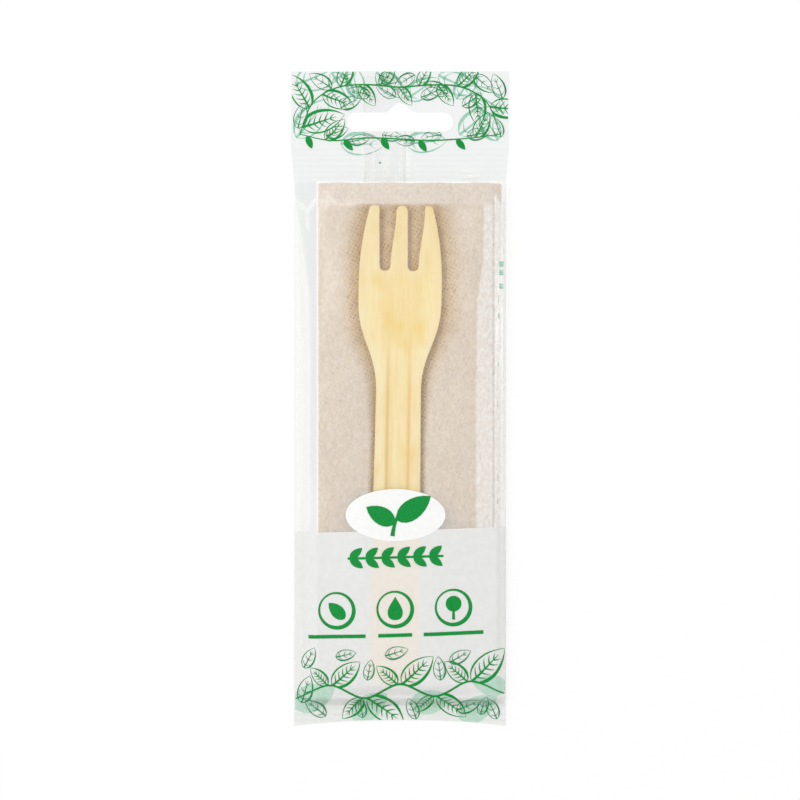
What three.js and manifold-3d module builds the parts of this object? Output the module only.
// A sealed cutlery pack that lies on its back: a clear film sachet with a hang slot, and in it a folded
// paper napkin and a pressed wooden fork. Millimetres. X runs across the pack, +Y to the hang slot, +Z up
// out of the front film. The origin is under the middle of the pack, on the surface it lies on.

import * as THREE from 'three';
import { mergeVertices } from 'three/addons/utils/BufferGeometryUtils.js';
import Module from 'manifold-3d';

const wasm = await Module();
wasm.setup();

// Film sachet, made to the napkin's width
const SLACK = 8.2; // film to spare at the napkin's left
const NAPKIN_SIDE_GAP = 1.5; // from the napkin's lower fold to the film's right edge
const HEADER_FLARE = 1.1; // the header is wider than the pouch by this much at each side
const HEADER_HEIGHT = 25.2;
const TOP_SEAL = 11.5;
const BOTTOM_SEAL = 9.4;
const BOTTOM_ARCH = 1.9; // the cut bottom edge is this much higher in its middle
const FILM_PLY = 0.2;
const RIB_PITCH = 1.9;
const RIB_HEIGHT = 0.2;
const RIM_LIFT = 1; // how far the right edge stands off the table, round the napkin's lower fold
const RIM_TOP = 2; // height of the film just inside the right edge
const RIM = 0.7; // width of the film's closed left edge

// Fin seal down the back, folded flat to the left of its root
const FIN_WIDTH = 14;
const FIN_ROOT_X = 2;
const FIN_GAP = 0.3;
const FIN_DRAPE = 5; // how far beside the fin the back film comes down to the table
const FIN_CLEAR = 1; // how far past the fin's edge the back film stays up
const VENT_RADIUS = 0.6;
const VENT_IN = 8; // from the napkin's right edge to the vent
const VENT_DOWN = 20; // from the napkin's top edge down to the vent

// Hang slot
const SLOT_WIDTH = 35.8;
const SLOT_HEIGHT = 6.3;
const SLOT_BUMP_WIDTH = 11.7;
const SLOT_BUMP_HEIGHT = 3.1;
const SLOT_FROM_TOP = 20.2; // from the header's top edge down to the slot's lower edge

// Napkin: a Z-fold of three layers, the lower fold of which stands out on the right
const NAPKIN_LENGTH = 172;
const NAPKIN_WIDTH = 58.6;
const NAPKIN_STEP = 3.1;
const NAPKIN_LAYER = 1.0;
const NAPKIN_FREE_EDGE = 1; // how far the bottom layer's edge stops short of the fold over it
const LAYER_GAP = 0.3;
const NAPKIN_END_GAP = 1.2; // from each end of the napkin to the seal

// Fork
const FORK_LENGTH = 160;
const FORK_THICKNESS = 1.7;
const FORK_TIP_GAP = 8; // from the top of the napkin down to the tines
const FORK_HEAD_HALF = 13.9;
const FORK_NECK_HALF = 7.5;
const FORK_END_HALF = 8.6;
const FORK_HEAD_LENGTH = 32; // from the tips to the widest place's lower end
const BOWL_FROM_TIP = 26; // from the tips to where the head starts to curve up
const TIP_SPREAD_HALF = 10.1; // from the axis to the outside of an outer tine's tip
const NECK_FROM_TIP = 62;
const TINE_LENGTH = 21.4;
const TINE_TIP_RADIUS = 1.5;
const TINE_SLOT_MOUTH = 5.4;
const TINE_SLOT_BOTTOM = 3.4;
const TINE_SLOT_X = 4.7; // from the fork's axis to a slot's middle
const CHANNEL_HALF = 3.9;
const PRESS_DEPTH = 0.7; // depth of the channel in the handle, and of the dish in the head
const NECK_RISE = 0.8;
const TINE_RISE = 1.6;
const FORK_TILT = -0.0131; // radians about Z, as it lies in the pack
const FORK_SHIFT = -0.7;

// Print, with heights counted from the pack's bottom edge
const PRINT_SKEW = 0.03; // the print climbs this much for each millimetre to the right
const PANEL_HEIGHT = 66.2;
const EMBLEM_Y = 71.4;
const EMBLEM_X = -1.5;
const EMBLEM_WIDTH = 33.4;
const EMBLEM_HEIGHT = 17.4;
const STALK = 1.2;
const GARLAND_Y = 57.3;
const GARLAND_WIDTH = 32;
const GARLAND_LEAF = 5.4;
const GARLAND_PAIRS = 6;
const GARLAND_STEM = 0.8;
const RING_RADIUS = 6.3;
const RING_STROKE = 0.7;
const RING_Y = 39.9;
const RING_SPACING = 19.5;
const RING_MIDDLE_X = -1.6;
const CAPTION_Y = 31.3;
const CAPTION_HEIGHT = 1.2;
const CAPTION_WIDTHS = [19.2, 11.3, 20];
const BAND_Y = 12.6; // middle of the bottom leaf band
const BAND_WAVE = 2.4;
const BAND_BENDS = 5;
const BAND_LEAF = 15.5;
const TOP_LEAF = 15.5;
const VINE_EDGE = 3; // from the header's side edge to the ends of its vines
const VINE_FOOT = 4; // from the header's base up to those ends
const VINE_TOP = 4.6; // from the top edge down to the upper vine
const VINE_UNDER = 2.3; // from the slot down to the lower vine
const VINE_WAVE = 0.8;
const LEAF_STROKE = 0.8;
const SMALL_LEAF = 8 * LEAF_STROKE; // a leaf up to this length is filled, and a longer one is an outline
const LEAF_SHAPE = 0.5; // a leaf's width over its length
const LEAF_ANGLE = 0.95; // radians between a leaf and its stem
const PRINT_MARGIN = 0.6;

// Clearances
const GAP = 0.3;
const SKIN = 0.15; // thickness of a print skin
const SEAM = 0.1; // from the pouch's end to the first rib of a seal
const SLIVER = 0.05; // least height inside the sachet, along its closed edges
const CLOSE = 0.3; // length over which the film comes down at each end of the napkin
const FILM_COVER = 0.4; // from the napkin up to the inside of the film, and from its lower fold sideways
const FORK_COVER = 0.45; // from the fork up to the inside of the film
const HEAD_MARGIN = 0.5; // how far the film stays level beside the fork's head
const HANDLE_MARGIN = 1.5; // and beside its handle

const COLOURS = { film: 0xf4f6f5, napkin: 0xddccba, wood: 0xf5e4b3, white: 0xffffff, green: 0x0b9a42 };

// Places worked out from the sizes above
const POUCH_LENGTH = NAPKIN_LENGTH + 2 * NAPKIN_END_GAP;
const PACK_LENGTH = HEADER_HEIGHT + TOP_SEAL + POUCH_LENGTH + BOTTOM_SEAL;
const TOP = PACK_LENGTH / 2;
const BOTTOM = -TOP;
const HEADER_BASE = TOP - HEADER_HEIGHT;
const POUCH_TOP = HEADER_BASE - TOP_SEAL;
const POUCH_BOTTOM = BOTTOM + BOTTOM_SEAL;
const HALF = (SLACK + NAPKIN_WIDTH + NAPKIN_STEP + NAPKIN_SIDE_GAP) / 2;
const HEADER_HALF = HALF + HEADER_FLARE;
const FIN_THICKNESS = 2 * FILM_PLY;
const SEAL_THICKNESS = 2 * FILM_PLY;
const FIN_LEFT_X = FIN_ROOT_X - FIN_WIDTH;
const FIN_COVER = FIN_THICKNESS + FIN_GAP;
const LAYER_PITCH = NAPKIN_LAYER + LAYER_GAP;
const NAPKIN_BASE = FIN_COVER + FILM_PLY + GAP;
const NAPKIN_TOP_Z = NAPKIN_BASE + 2 * LAYER_PITCH + NAPKIN_LAYER;
const NAPKIN_TOP = POUCH_TOP - NAPKIN_END_GAP;
const LOWER_FOLD_X = HALF - NAPKIN_SIDE_GAP;
const NAPKIN_RIGHT = LOWER_FOLD_X - NAPKIN_STEP;
const NAPKIN_LEFT = NAPKIN_RIGHT - NAPKIN_WIDTH;
const FORK_TIP = NAPKIN_TOP - FORK_TIP_GAP;
const FORK_END = FORK_TIP - FORK_LENGTH;
const FORK_BASE = NAPKIN_TOP_Z + GAP + PRESS_DEPTH;
const NECK = FORK_TIP - NECK_FROM_TIP;
const BOWL = FORK_TIP - BOWL_FROM_TIP;
const SLOT_BASE = TOP - SLOT_FROM_TOP;
const TALL = 40; // a cutter's height, taller than the pack
const FORK_ROWS = 22; // steps along the fork in which its curves are drawn

const clamp = THREE.MathUtils.clamp;
const lerp = THREE.MathUtils.lerp;
const step = THREE.MathUtils.smoothstep;

// Height at x on a line through the points [x, z], which are in order of x
function along(points, x) {
  for (let i = 1; i < points.length; i += 1) {
    const [x0, z0] = points[i - 1];
    const [x1, z1] = points[i];
    if (x <= x1) {
      return lerp(z0, z1, clamp((x - x0) / (x1 - x0), 0, 1));
    }
  }
  return points[points.length - 1][1];
}

// A hump of height 1 that falls to 0 at a distance of 1
function hump(t) {
  return 0.5 + 0.5 * Math.cos(Math.PI * clamp(t, -1, 1));
}

// Solids

function solid(geometry) {
  geometry.deleteAttribute('normal');
  geometry.deleteAttribute('uv');
  const merged = mergeVertices(geometry, 1e-4);
  const vertProperties = new Float32Array(merged.attributes.position.array);
  const triVerts = new Uint32Array(merged.index.array);
  return new wasm.Manifold(new wasm.Mesh({ numProp: 3, vertProperties, triVerts }));
}

function geometryOf(manifold) {
  const mesh = manifold.getMesh();
  const geometry = new THREE.BufferGeometry();
  geometry.setAttribute('position', new THREE.BufferAttribute(new Float32Array(mesh.vertProperties), 3));
  geometry.setIndex(new THREE.BufferAttribute(new Uint32Array(mesh.triVerts), 1));
  geometry.computeVertexNormals();
  return geometry;
}

// A closed sheet over a grid of columns and rows: place(column, row, isTop) gives each corner. Both faces
// are split along the same diagonals, so that sheets over the same grid lie evenly on each other.
function sheet(columns, rows, place) {
  const across = columns.length;
  const down = rows.length;
  const corners = [];
  [true, false].forEach((isTop) => {
    rows.forEach((row) => columns.forEach((column) => corners.push(...place(column, row, isTop))));
  });
  const top = (i, j) => j * across + i;
  const low = (i, j) => across * down + top(i, j);
  const faces = [];
  const wall = (i0, j0, i1, j1) => {
    faces.push(low(i0, j0), low(i1, j1), top(i1, j1), low(i0, j0), top(i1, j1), top(i0, j0));
  };
  for (let j = 0; j < down - 1; j += 1) {
    for (let i = 0; i < across - 1; i += 1) {
      faces.push(top(i, j), top(i + 1, j), top(i + 1, j + 1), top(i, j), top(i + 1, j + 1), top(i, j + 1));
      faces.push(low(i, j), low(i + 1, j + 1), low(i + 1, j), low(i, j), low(i, j + 1), low(i + 1, j + 1));
    }
    wall(0, j + 1, 0, j);
    wall(across - 1, j, across - 1, j + 1);
  }
  for (let i = 0; i < across - 1; i += 1) {
    wall(i, 0, i + 1, 0);
    wall(i + 1, down - 1, i, down - 1);
  }
  const geometry = new THREE.BufferGeometry();
  geometry.setAttribute('position', new THREE.Float32BufferAttribute(corners, 3));
  geometry.setIndex(faces);
  return solid(geometry);
}

function box(x0, x1, y0, y1, z0, z1) {
  const geometry = new THREE.BoxGeometry(x1 - x0, y1 - y0, z1 - z0);
  geometry.translate((x0 + x1) / 2, (y0 + y1) / 2, (z0 + z1) / 2);
  return solid(geometry);
}

// A prism that stands through the whole pack, over an outline in plan
function prism(shape, curveSegments = 6) {
  const geometry = new THREE.ExtrudeGeometry(shape, { depth: TALL, bevelEnabled: false, curveSegments });
  geometry.translate(0, 0, -TALL / 4);
  return geometry;
}

// Film sachet

// How far the back film is held off the table by the fin under it
function drape(x, cover) {
  return along([
    [FIN_LEFT_X - FIN_DRAPE, 0],
    [FIN_LEFT_X - FIN_CLEAR, cover],
    [FIN_ROOT_X + FIN_CLEAR / 2, cover],
    [FIN_ROOT_X + FIN_DRAPE, 0],
  ], x);
}

function forkRise(y) {
  const neck = NECK_RISE * hump((y - NECK) / (NECK_FROM_TIP * 0.75));
  const tips = TINE_RISE * clamp((y - BOWL) / (FORK_TIP - BOWL), 0, 1) ** 2;
  return neck + tips;
}

function forkTop(y) {
  const reach = clamp(y, FORK_END, FORK_TIP);
  return FORK_BASE + FORK_THICKNESS + forkRise(reach);
}

// Inside of the front film, drawn like a tent over the fork, the napkin and its lower fold. With grow it is
// the same tent moved out by that much on every side, which is the film's outer face.
function frontHeight(x, y, grow) {
  const shoulder = NAPKIN_TOP_Z + FILM_COVER;
  const overFork = forkTop(y) + FORK_COVER;
  const ridge = along([
    [POUCH_BOTTOM + NAPKIN_END_GAP, shoulder],
    [FORK_END - GAP, overFork],
    [FORK_TIP + GAP, overFork],
    [NAPKIN_TOP, shoulder],
  ], y);
  const ridgeHalf = y > NECK ? FORK_HEAD_HALF + HEAD_MARGIN : FORK_END_HALF + HANDLE_MARGIN;
  const tent = along([
    [-HALF, SEAL_THICKNESS - FILM_PLY],
    [-HALF + RIM - grow, 3 * FILM_PLY],
    [NAPKIN_LEFT - 2 * GAP - grow, shoulder],
    [-ridgeHalf, ridge],
    [ridgeHalf, ridge],
    [NAPKIN_RIGHT + 2 * GAP + grow, shoulder],
    [LOWER_FOLD_X + FILM_COVER + grow, NAPKIN_BASE + LAYER_PITCH + NAPKIN_LAYER - GAP],
    [HALF - GAP, RIM_TOP],
    [HALF, SEAL_THICKNESS + RIM_LIFT - FILM_PLY],
  ], x);
  return tent + grow;
}

function backHeight(x, inPouch) {
  const foldEdge = LOWER_FOLD_X + FILM_COVER;
  const lift = inPouch ? RIM_LIFT * clamp((x - foldEdge) / (HALF - foldEdge), 0, 1) : 0;
  return drape(x, inPouch ? FIN_COVER : FIN_THICKNESS - SLIVER) + lift;
}

function halfWidth(y) {
  return lerp(HALF, HEADER_HALF, clamp((y - POUCH_TOP) / TOP_SEAL, 0, 1));
}

const FILM_COLUMNS = [
  -HALF,
  -HALF + RIM,
  lerp(-HALF, NAPKIN_LEFT, 0.5),
  NAPKIN_LEFT - 2 * GAP,
  FIN_LEFT_X - FIN_DRAPE,
  FIN_LEFT_X - FIN_CLEAR,
  -FORK_END_HALF - HANDLE_MARGIN,
  FIN_ROOT_X + FIN_CLEAR / 2,
  FORK_END_HALF + HANDLE_MARGIN,
  FORK_HEAD_HALF + HEAD_MARGIN,
  lerp(FORK_HEAD_HALF, NAPKIN_RIGHT, 0.5),
  NAPKIN_RIGHT + 2 * GAP,
  LOWER_FOLD_X + FILM_COVER,
  HALF - GAP,
  HALF,
];

// Rows over the contents, from the bottom up
const CONTENT_ROWS = [
  POUCH_BOTTOM + NAPKIN_END_GAP - GAP,
  FORK_END - GAP,
  lerp(FORK_END, NECK, 0.5),
  NECK,
  lerp(NECK, BOWL, 0.5),
  BOWL,
  lerp(BOWL, FORK_TIP, 0.5),
  FORK_TIP + GAP,
  NAPKIN_TOP + GAP,
];

function ribRows(from, to) {
  const count = 2 * Math.max(1, Math.round((to - from) / RIB_PITCH));
  return Array.from({ length: count + 1 }, (_, i) => ({ y: lerp(from, to, i / count), rib: i % 2 }));
}

// Rows of the film's outer face over the contents: the end ones stand out by the film's own thickness
function outerRows() {
  const last = CONTENT_ROWS.length - 1;
  return CONTENT_ROWS.map((y, i) => {
    const out = (i === 0 ? -FILM_PLY : 0) + (i === last ? FILM_PLY : 0);
    return { y: y + out, full: true };
  });
}

function filmLow(column, row) {
  return backHeight(column, Boolean(row.full)) + (row.rib ? RIB_HEIGHT : 0);
}

function filmHigh(column, row) {
  const sealed = filmLow(column, row) + SEAL_THICKNESS;
  return row.full ? Math.max(frontHeight(column, row.y, FILM_PLY), sealed) : sealed;
}

function filmX(column, y) {
  return column * (halfWidth(y) / HALF);
}

function filmOutside() {
  const rows = [
    ...ribRows(BOTTOM, POUCH_BOTTOM - SEAM),
    ...outerRows(),
    ...ribRows(POUCH_TOP + SEAM, HEADER_BASE),
    { y: TOP, rib: 0 },
  ];
  return sheet(FILM_COLUMNS, rows, (column, row, isTop) => {
    const arch = BOTTOM_ARCH * (1 - (column / HALF) ** 2) * clamp((POUCH_BOTTOM - row.y) / BOTTOM_SEAL, 0, 1);
    return [filmX(column, row.y), row.y + arch, isTop ? filmHigh(column, row) : filmLow(column, row)];
  });
}

function filmInside() {
  const inset = 1.5 * FILM_PLY;
  const columns = FILM_COLUMNS.map((x, i) => {
    const isRim = i === 0 || i === FILM_COLUMNS.length - 1;
    return isRim ? x - Math.sign(x) * inset : x;
  });
  const rows = [
    { y: CONTENT_ROWS[0] - CLOSE, full: false },
    ...CONTENT_ROWS.map((y) => ({ y, full: true })),
    { y: CONTENT_ROWS[CONTENT_ROWS.length - 1] + CLOSE, full: false },
  ];
  return sheet(columns, rows, (x, row, isTop) => {
    const low = backHeight(x, true) + FILM_PLY;
    const high = row.full ? Math.max(frontHeight(x, row.y, 0), low + SLIVER) : low + SLIVER;
    return [x, row.y, isTop ? high : low];
  });
}

function hangSlot(margin) {
  const shape = new THREE.Shape();
  const r = SLOT_HEIGHT / 2 + margin;
  const side = (SLOT_WIDTH - SLOT_HEIGHT) / 2;
  const floor = SLOT_BASE - margin;
  const middle = SLOT_BASE + SLOT_HEIGHT / 2;
  const roof = middle + r;
  const peak = roof + SLOT_BUMP_HEIGHT;
  const foot = SLOT_BUMP_WIDTH / 2 + margin;
  shape.moveTo(-side, floor);
  shape.lineTo(side, floor);
  shape.absarc(side, middle, r, -Math.PI / 2, Math.PI / 2, false);
  shape.lineTo(foot, roof);
  shape.bezierCurveTo(foot * 0.45, roof, foot * 0.5, peak, 0, peak);
  shape.bezierCurveTo(-foot * 0.5, peak, -foot * 0.45, roof, -foot, roof);
  shape.lineTo(-side, roof);
  shape.absarc(-side, middle, r, Math.PI / 2, 1.5 * Math.PI, false);
  return solid(prism(shape, 7));
}

// The fin: two plies that leave the back film at the root and lie flat under it
function finSeal() {
  const start = BOTTOM + BOTTOM_ARCH + GAP;
  const pressed = FIN_THICKNESS + 0.75 * RIB_HEIGHT;
  const flap = box(FIN_LEFT_X, FIN_ROOT_X, start, TOP, 0, FIN_THICKNESS);
  const root = box(FIN_ROOT_X - 3 * FILM_PLY, FIN_ROOT_X, start, TOP, 0, FIN_COVER + FILM_PLY / 2);
  const inTopSeal = box(FIN_LEFT_X, FIN_ROOT_X, POUCH_TOP + SEAM, TOP, 0, pressed);
  const inBottomSeal = box(FIN_LEFT_X, FIN_ROOT_X, start, POUCH_BOTTOM - SEAM, 0, pressed);
  const pouchRoot = root.subtract(box(-HALF, HALF, POUCH_TOP + SEAM, TOP + 1, -1, TALL));
  const cutRoot = pouchRoot.subtract(box(-HALF, HALF, BOTTOM - 1, POUCH_BOTTOM - SEAM, -1, TALL));
  return flap.add(cutRoot).add(inTopSeal).add(inBottomSeal);
}

// A pinhole in the back film, through which the pack breathes
function vent() {
  const geometry = new THREE.CylinderGeometry(VENT_RADIUS, VENT_RADIUS, 2, 8);
  geometry.rotateX(Math.PI / 2);
  geometry.translate(NAPKIN_RIGHT - VENT_IN, NAPKIN_TOP - VENT_DOWN, 0);
  return solid(geometry);
}

function filmSachet() {
  const cut = filmOutside().add(finSeal()).subtract(filmInside());
  return cut.subtract(hangSlot(0)).subtract(vent());
}

// Napkin

function paperNapkin() {
  const outer = (LAYER_PITCH + NAPKIN_LAYER) / 2;
  const inner = LAYER_GAP / 2;
  const z = (layer) => NAPKIN_BASE + layer * LAYER_PITCH;
  const rightFold = LOWER_FOLD_X - outer;
  const leftFold = NAPKIN_LEFT + outer;
  const lowerMiddle = z(1) - inner;
  const upperMiddle = z(2) - inner;
  const quarter = Math.PI / 2;
  const shape = new THREE.Shape();
  shape.moveTo(NAPKIN_LEFT + NAPKIN_FREE_EDGE, z(0));
  shape.lineTo(rightFold, z(0));
  shape.absarc(rightFold, lowerMiddle, outer, -quarter, quarter, false);
  shape.lineTo(leftFold, z(1) + NAPKIN_LAYER);
  shape.absarc(leftFold, upperMiddle, inner, -quarter, quarter, true);
  shape.lineTo(NAPKIN_RIGHT, z(2));
  shape.lineTo(NAPKIN_RIGHT, z(2) + NAPKIN_LAYER);
  shape.lineTo(leftFold, z(2) + NAPKIN_LAYER);
  shape.absarc(leftFold, upperMiddle, outer, quarter, 3 * quarter, false);
  shape.lineTo(rightFold, z(1));
  shape.absarc(rightFold, lowerMiddle, inner, quarter, -quarter, true);
  shape.lineTo(NAPKIN_LEFT + NAPKIN_FREE_EDGE, z(0) + NAPKIN_LAYER);
  const options = { depth: NAPKIN_LENGTH, bevelEnabled: false, curveSegments: 8 };
  const geometry = new THREE.ExtrudeGeometry(shape, options);
  geometry.rotateX(Math.PI / 2);
  geometry.translate(0, NAPKIN_TOP, 0);
  return solid(geometry);
}

// Fork, in its own frame: the axis is x = 0, and y is the pack's

function forkOutline() {
  const shoulder = FORK_TIP - FORK_HEAD_LENGTH;
  const bend = (shoulder - NECK) * 0.45;
  const shape = new THREE.Shape();
  shape.moveTo(TIP_SPREAD_HALF - TINE_TIP_RADIUS, FORK_TIP);
  shape.quadraticCurveTo(TIP_SPREAD_HALF, FORK_TIP, TIP_SPREAD_HALF + 0.3, FORK_TIP - 2 * TINE_TIP_RADIUS);
  shape.bezierCurveTo(
    lerp(TIP_SPREAD_HALF, FORK_HEAD_HALF, 0.6), FORK_TIP - 0.28 * FORK_HEAD_LENGTH,
    FORK_HEAD_HALF, FORK_TIP - 0.55 * FORK_HEAD_LENGTH,
    FORK_HEAD_HALF, FORK_TIP - 0.78 * FORK_HEAD_LENGTH,
  );
  shape.lineTo(FORK_HEAD_HALF, shoulder);
  shape.bezierCurveTo(FORK_HEAD_HALF, shoulder - bend, FORK_NECK_HALF, NECK + bend, FORK_NECK_HALF, NECK);
  shape.lineTo(FORK_END_HALF, FORK_END + FORK_END_HALF * 0.6);
  shape.quadraticCurveTo(FORK_END_HALF, FORK_END, FORK_END_HALF * 0.35, FORK_END);
  shape.lineTo(-FORK_END_HALF * 0.35, FORK_END);
  shape.quadraticCurveTo(-FORK_END_HALF, FORK_END, -FORK_END_HALF, FORK_END + FORK_END_HALF * 0.6);
  shape.lineTo(-FORK_NECK_HALF, NECK);
  shape.bezierCurveTo(
    -FORK_NECK_HALF, NECK + bend,
    -FORK_HEAD_HALF, shoulder - bend,
    -FORK_HEAD_HALF, shoulder,
  );
  shape.lineTo(-FORK_HEAD_HALF, FORK_TIP - 0.78 * FORK_HEAD_LENGTH);
  shape.bezierCurveTo(
    -FORK_HEAD_HALF, FORK_TIP - 0.55 * FORK_HEAD_LENGTH,
    -lerp(TIP_SPREAD_HALF, FORK_HEAD_HALF, 0.6), FORK_TIP - 0.28 * FORK_HEAD_LENGTH,
    -TIP_SPREAD_HALF - 0.3, FORK_TIP - 2 * TINE_TIP_RADIUS,
  );
  shape.quadraticCurveTo(-TIP_SPREAD_HALF, FORK_TIP, -TIP_SPREAD_HALF + TINE_TIP_RADIUS, FORK_TIP);
  return shape;
}

// A slot between two tines, flared at its mouth so that the tips come out round
function tineSlot(side) {
  const middle = side * TINE_SLOT_X;
  const r = TINE_SLOT_BOTTOM / 2;
  const foot = FORK_TIP - TINE_LENGTH + r;
  const mouth = TINE_SLOT_MOUTH / 2;
  const flare = FORK_TIP - 1.6 * TINE_TIP_RADIUS;
  const shape = new THREE.Shape();
  shape.moveTo(middle - r, foot);
  shape.absarc(middle, foot, r, Math.PI, 2 * Math.PI, false);
  shape.lineTo(middle + mouth, flare);
  shape.quadraticCurveTo(middle + mouth, FORK_TIP, middle + mouth + TINE_TIP_RADIUS * 0.8, FORK_TIP);
  shape.lineTo(middle + mouth + TINE_TIP_RADIUS * 0.8, FORK_TIP + 2);
  shape.lineTo(middle - mouth - TINE_TIP_RADIUS * 0.8, FORK_TIP + 2);
  shape.lineTo(middle - mouth - TINE_TIP_RADIUS * 0.8, FORK_TIP);
  shape.quadraticCurveTo(middle - mouth, FORK_TIP, middle - mouth, flare);
  return solid(prism(shape));
}

// Underside of the pressed veneer: a channel along the handle that opens into the dish of the head
function forkUnderside(x, y) {
  const inHead = step(y, NECK - 8, lerp(NECK, BOWL, 0.6));
  const channel = -PRESS_DEPTH * hump(x / CHANNEL_HALF);
  const dish = -PRESS_DEPTH * Math.max(0, 1 - (x / FORK_HEAD_HALF) ** 2);
  return FORK_BASE + forkRise(y) + lerp(channel, dish, inHead);
}

function woodenFork() {
  const wide = FORK_HEAD_HALF + 2;
  const across = [CHANNEL_HALF / 2, CHANNEL_HALF, FORK_NECK_HALF - 1, FORK_END_HALF + 1, wide];
  const columns = [...across.map((x) => -x).reverse(), 0, ...across];
  const rows = Array.from({ length: FORK_ROWS + 1 }, (_, i) => {
    return lerp(FORK_END - 1, FORK_TIP + 1, i / FORK_ROWS);
  });
  const veneer = sheet(columns, rows, (x, y, isTop) => {
    return [x, y, forkUnderside(x, y) + (isTop ? FORK_THICKNESS : 0)];
  });
  const blank = veneer.intersect(solid(prism(forkOutline(), 8)));
  return blank.subtract(tineSlot(-1)).subtract(tineSlot(1));
}

// Print. Each skin follows the front film, one level above what lies under it.

function skin(rows, level) {
  const base = GAP + level * (SKIN + GAP);
  return sheet(FILM_COLUMNS, rows, (column, row, isTop) => {
    return [filmX(column, row.y), row.y, filmHigh(column, row) + base + (isTop ? SKIN : 0)];
  });
}

function frontSkin(level) {
  const seal = [{ y: BOTTOM - 1, rib: 1 }, { y: POUCH_BOTTOM - SEAM, rib: 1 }];
  return skin([...seal, ...outerRows().slice(0, 4)], level);
}

function headerSkin() {
  return skin([{ y: HEADER_BASE - 1, rib: 1 }, { y: TOP + 1, rib: 1 }], 0);
}

// The part of the front that takes print: the film's own outline, drawn in a little
function printArea() {
  const side = HALF - PRINT_MARGIN;
  const headerSide = HEADER_HALF - PRINT_MARGIN;
  const shape = new THREE.Shape();
  shape.moveTo(-side, BOTTOM + PRINT_MARGIN);
  shape.quadraticCurveTo(0, BOTTOM + PRINT_MARGIN + 2 * BOTTOM_ARCH, side, BOTTOM + PRINT_MARGIN);
  shape.lineTo(side, POUCH_TOP);
  shape.lineTo(headerSide, HEADER_BASE);
  shape.lineTo(headerSide, TOP - PRINT_MARGIN);
  shape.lineTo(-headerSide, TOP - PRINT_MARGIN);
  shape.lineTo(-headerSide, HEADER_BASE);
  shape.lineTo(-side, POUCH_TOP);
  return solid(prism(shape, 12)).subtract(hangSlot(PRINT_MARGIN));
}

// Print on a skin: the edges and the slot trim it, and of what they cut apart the largest piece stays
function printed(skinSolid, ...geometries) {
  const whole = geometries.map(solid).reduce((sum, piece) => sum.add(piece));
  const pieces = skinSolid.intersect(whole).intersect(printArea()).decompose();
  return pieces.reduce((best, piece) => (piece.volume() > best.volume() ? piece : best));
}

// Place in plan of a printed point, with its height counted from the pack's bottom edge
function onPrint(x, height) {
  return [x, BOTTOM + height + x * PRINT_SKEW];
}

// A leaf that points along +Y from its stalk. An open one is an outline with a midrib.
function leafShape(length, width, stroke) {
  const shape = new THREE.Shape();
  shape.moveTo(0, 0);
  shape.bezierCurveTo(width * 0.62, length * 0.12, width * 0.66, length * 0.66, 0, length);
  shape.bezierCurveTo(-width * 0.66, length * 0.66, -width * 0.62, length * 0.12, 0, 0);
  if (stroke > 0) {
    const reach = 1 - (2.2 * stroke) / width;
    [-1, 1].forEach((side) => {
      const rib = (side * stroke) / 2;
      const half = new THREE.Path();
      half.moveTo(rib, length * 0.1);
      half.bezierCurveTo(
        rib + side * width * 0.6 * reach, length * 0.2,
        rib + side * width * 0.62 * reach, length * 0.62,
        rib, length * 0.86,
      );
      half.lineTo(rib, length * 0.1);
      shape.holes.push(half);
    });
  }
  return shape;
}

function leaf(x, y, angle, length, width, stroke) {
  const geometry = prism(leafShape(length, width, stroke), 5);
  geometry.rotateZ(angle);
  geometry.translate(x, y, 0);
  return geometry;
}

// A flat stem of even width along a smooth curve through the points
function stem(points, width, segments) {
  const curve = new THREE.CatmullRomCurve3(points.map(([x, y]) => new THREE.Vector3(x, y, 0)));
  const sides = [[], []];
  for (let i = 0; i <= segments; i += 1) {
    const point = curve.getPoint(i / segments);
    const ahead = curve.getTangent(i / segments);
    sides[0].push(new THREE.Vector2(point.x - (ahead.y * width) / 2, point.y + (ahead.x * width) / 2));
    sides[1].push(new THREE.Vector2(point.x + (ahead.y * width) / 2, point.y - (ahead.x * width) / 2));
  }
  return { geometry: prism(new THREE.Shape([...sides[1], ...sides[0].reverse()])), curve };
}

// A stem with leaves, each given as its place t along the stem, its turn from the stem and its length
function vine(points, leaves) {
  const { geometry, curve } = stem(points, LEAF_STROKE, 3 * points.length);
  const grown = leaves.map(({ t, turn, length }) => {
    const point = curve.getPointAt(t);
    const ahead = curve.getTangentAt(t);
    const angle = Math.atan2(ahead.y, ahead.x) - Math.PI / 2 + turn;
    const stroke = length > SMALL_LEAF ? LEAF_STROKE : 0;
    return leaf(point.x, point.y, angle, length, length * LEAF_SHAPE, stroke);
  });
  return [geometry, ...grown];
}

// Leaves that stand off a stem by turns, from its start nearly to its end. Those on its left have one size
// and those on its right another, each of which depends on the place t along the stem.
function alternate(count, leftSize, rightSize) {
  return Array.from({ length: count }, (_, i) => {
    const t = (0.93 * (i + 0.4)) / count;
    const isLeft = i % 2 === 1;
    return { t, turn: isLeft ? LEAF_ANGLE : -LEAF_ANGLE, length: isLeft ? leftSize(t) : rightSize(t) };
  });
}

function whitePanel() {
  const shape = new THREE.Shape();
  shape.moveTo(-HALF, BOTTOM - 1);
  shape.lineTo(HALF, BOTTOM - 1);
  shape.lineTo(...onPrint(HALF, PANEL_HEIGHT));
  shape.lineTo(...onPrint(-HALF, PANEL_HEIGHT));
  return printed(frontSkin(0), prism(shape));
}

function emblemBacking() {
  const [x, y] = onPrint(EMBLEM_X, EMBLEM_Y);
  const shape = new THREE.Shape();
  shape.absellipse(x, y, EMBLEM_WIDTH / 2, EMBLEM_HEIGHT / 2, 0, 2 * Math.PI, false, 0);
  return printed(frontSkin(1), prism(shape, 20));
}

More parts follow.
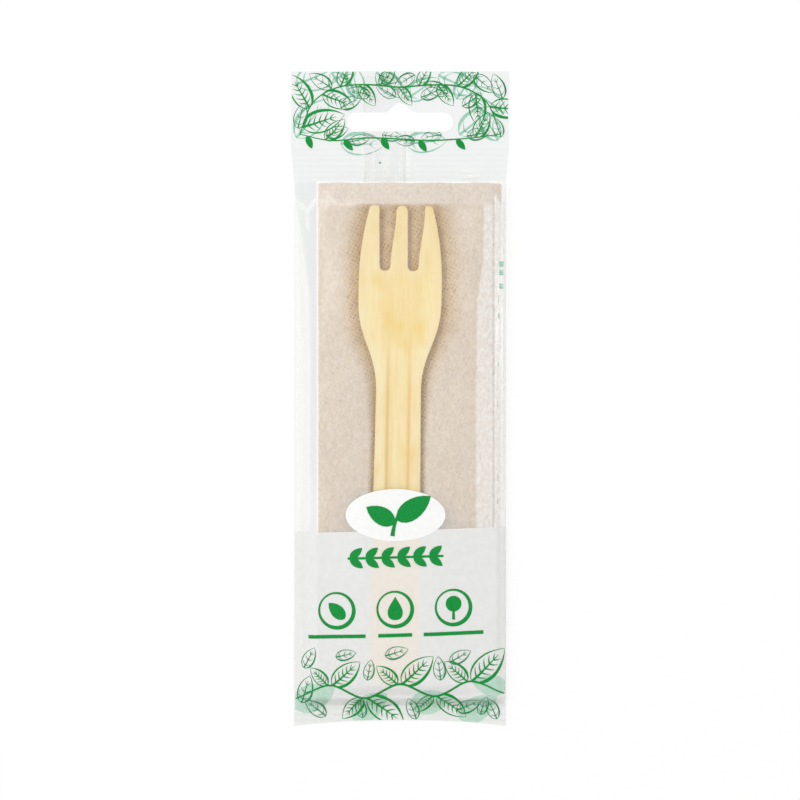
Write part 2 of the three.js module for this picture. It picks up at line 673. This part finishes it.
// A seedling: a long leaf and a shorter one on a bent stalk
function sproutEmblem() {
  const [x, y] = onPrint(EMBLEM_X, EMBLEM_Y);
  const foot = y - EMBLEM_HEIGHT * 0.4;
  const crook = y - EMBLEM_HEIGHT * 0.16;
  const long = EMBLEM_WIDTH * 0.42;
  const short = EMBLEM_WIDTH * 0.33;
  return printed(
    frontSkin(2),
    stem([[x - 1, foot], [x - 0.2, crook], [x + 1.2, y + 1]], STALK, 4).geometry,
    leaf(x - 0.2, crook, 1.05, short, short * 0.56, 0),
    leaf(x + 0.4, crook + 1, -0.95, long, long * 0.5, 0),
  );
}

function garland() {
  const half = GARLAND_WIDTH / 2;
  const ends = [onPrint(EMBLEM_X - half, GARLAND_Y), onPrint(EMBLEM_X + half, GARLAND_Y)];
  const pieces = [stem(ends, GARLAND_STEM, 1).geometry];
  const spacing = (GARLAND_WIDTH - GARLAND_LEAF) / (GARLAND_PAIRS - 1);
  for (let i = 0; i < GARLAND_PAIRS; i += 1) {
    const x = EMBLEM_X - half + GARLAND_STEM + i * spacing;
    const [px, py] = onPrint(x, GARLAND_Y);
    pieces.push(leaf(px, py, -0.85, GARLAND_LEAF, GARLAND_LEAF * 0.5, 0));
    pieces.push(leaf(px, py, -2.2, GARLAND_LEAF, GARLAND_LEAF * 0.5, 0));
  }
  return printed(frontSkin(1), ...pieces);
}

function ringX(index) {
  return RING_MIDDLE_X + (index - 1) * RING_SPACING;
}

// A ring whose stroke is thin at the top left and broad at the bottom right
function ring(index) {
  const [x, y] = onPrint(ringX(index), RING_Y);
  const shape = new THREE.Shape();
  shape.absarc(x, y, RING_RADIUS, 0, 2 * Math.PI, false);
  const hole = new THREE.Path();
  const shift = RING_STROKE * 0.4;
  hole.absarc(x - shift, y + shift, RING_RADIUS - RING_STROKE - shift, 0, 2 * Math.PI, true);
  shape.holes.push(hole);
  return printed(frontSkin(1), prism(shape, 10));
}

function leafGlyph() {
  const [x, y] = onPrint(ringX(0), RING_Y);
  const length = RING_RADIUS * 1.2;
  return printed(frontSkin(1), leaf(x + length * 0.35, y - length * 0.35, 0.8, length, length * 0.6, 0));
}

function dropGlyph() {
  const [x, y] = onPrint(ringX(1), RING_Y);
  const r = RING_RADIUS * 0.4;
  const shape = new THREE.Shape();
  shape.moveTo(x, y + 1.7 * r);
  shape.bezierCurveTo(x - 0.4 * r, y + r, x - r, y + 0.3 * r, x - r, y - 0.4 * r);
  shape.absarc(x, y - 0.4 * r, r, Math.PI, 2 * Math.PI, false);
  shape.bezierCurveTo(x + r, y + 0.3 * r, x + 0.4 * r, y + r, x, y + 1.7 * r);
  return printed(frontSkin(1), prism(shape, 6));
}

function treeGlyph() {
  const [x, y] = onPrint(ringX(2), RING_Y);
  const r = RING_RADIUS * 0.42;
  const crown = new THREE.Shape();
  crown.absarc(x, y + 0.5 * r, r, 0, 2 * Math.PI, false);
  const trunk = stem([[x, y - 1.5 * r], [x, y]], 0.9, 1).geometry;
  return printed(frontSkin(1), prism(crown, 7), trunk);
}

function captionBar(index) {
  const half = CAPTION_WIDTHS[index] / 2;
  const from = onPrint(ringX(index) - half, CAPTION_Y);
  const to = onPrint(ringX(index) + half, CAPTION_Y);
  return printed(frontSkin(1), stem([from, to], CAPTION_HEIGHT, 1).geometry);
}

// A vine that winds from edge to edge over the bottom seal, with a long and a short leaf at each bend
function bottomLeaves() {
  const reach = HALF - PRINT_MARGIN;
  const points = Array.from({ length: BAND_BENDS + 2 }, (_, i) => {
    const wave = i % 2 ? BAND_WAVE : -BAND_WAVE;
    return onPrint(lerp(-reach, reach, i / (BAND_BENDS + 1)), BAND_Y + wave);
  });
  const leaves = [];
  for (let i = 1; i <= BAND_BENDS; i += 1) {
    const t = i / (BAND_BENDS + 1);
    const side = i % 2 ? 1 : -1;
    const length = BAND_LEAF * (1 - 0.1 * ((i + 1) % 3));
    leaves.push({ t: t + 0.01, turn: side * 0.8, length });
    leaves.push({ t: t - 0.01, turn: side * 2.2, length: length * 0.66 });
  }
  return printed(frontSkin(1), ...vine(points, leaves));
}

// A garland round the hang slot: one vine over it and one under it, joined at both ends
function topLeaves() {
  const side = HEADER_HALF - VINE_EDGE;
  const foot = HEADER_BASE + VINE_FOOT;
  const over = TOP - VINE_TOP;
  const bend = lerp(foot, over, 0.66);
  const under = SLOT_BASE - VINE_UNDER;
  const left = [-side, foot];
  const right = [side, foot];
  const upper = [
    left, [-side * 0.86, bend], [-side * 0.62, over - VINE_WAVE], [-side * 0.3, over],
    [0, over - VINE_WAVE],
    [side * 0.3, over], [side * 0.62, over - VINE_WAVE], [side * 0.86, bend], right,
  ];
  const lower = [
    left, [-side * 0.7, under - VINE_WAVE], [-side * 0.3, under],
    [side * 0.3, under - VINE_WAVE], [side * 0.7, under], right,
  ];
  const away = (t) => Math.abs(2 * t - 1) ** 1.5;
  const outward = (t) => lerp(0.48, 1, away(t)) * TOP_LEAF;
  const beside = (t) => lerp(0.3, 0.8, away(t)) * TOP_LEAF;
  const beneath = () => 0.3 * TOP_LEAF;
  return printed(
    headerSkin(),
    ...vine(upper, alternate(12, outward, outward)),
    ...vine(lower, alternate(10, beside, beneath)),
  );
}

// The pack

const pack = new THREE.Group();

function addPiece(name, manifold, finish) {
  const mesh = new THREE.Mesh(geometryOf(manifold), new THREE.MeshStandardMaterial(finish));
  mesh.name = name;
  pack.add(mesh);
  return mesh;
}

const clearFilm = { color: COLOURS.film, roughness: 0.15, metalness: 0, transparent: true, opacity: 0.35 };
const paper = { color: COLOURS.napkin, roughness: 0.95, metalness: 0 };
const wood = { color: COLOURS.wood, roughness: 0.7, metalness: 0 };
const greenInk = { color: COLOURS.green, roughness: 0.4, metalness: 0 };
const whiteInk = { color: COLOURS.white, roughness: 0.4, metalness: 0 };

addPiece('film_sachet', filmSachet(), clearFilm);
addPiece('paper_napkin', paperNapkin(), paper);
const fork = addPiece('wooden_fork', woodenFork(), wood);
fork.rotation.z = FORK_TILT;
fork.position.x = FORK_SHIFT;

addPiece('white_panel_print', whitePanel(), { ...whiteInk, transparent: true, opacity: 0.7 });
addPiece('emblem_backing_print', emblemBacking(), whiteInk);
addPiece('sprout_emblem_print', sproutEmblem(), greenInk);
addPiece('garland_print', garland(), greenInk);
['left', 'middle', 'right'].forEach((place, index) => {
  addPiece(`ring_print_${place}`, ring(index), greenInk);
  addPiece(`caption_bar_${place}`, captionBar(index), greenInk);
});
addPiece('leaf_glyph_print', leafGlyph(), greenInk);
addPiece('drop_glyph_print', dropGlyph(), greenInk);
addPiece('tree_glyph_print', treeGlyph(), greenInk);
addPiece('bottom_leaf_print', bottomLeaves(), greenInk);
addPiece('top_leaf_print', topLeaves(), greenInk);

export default pack;
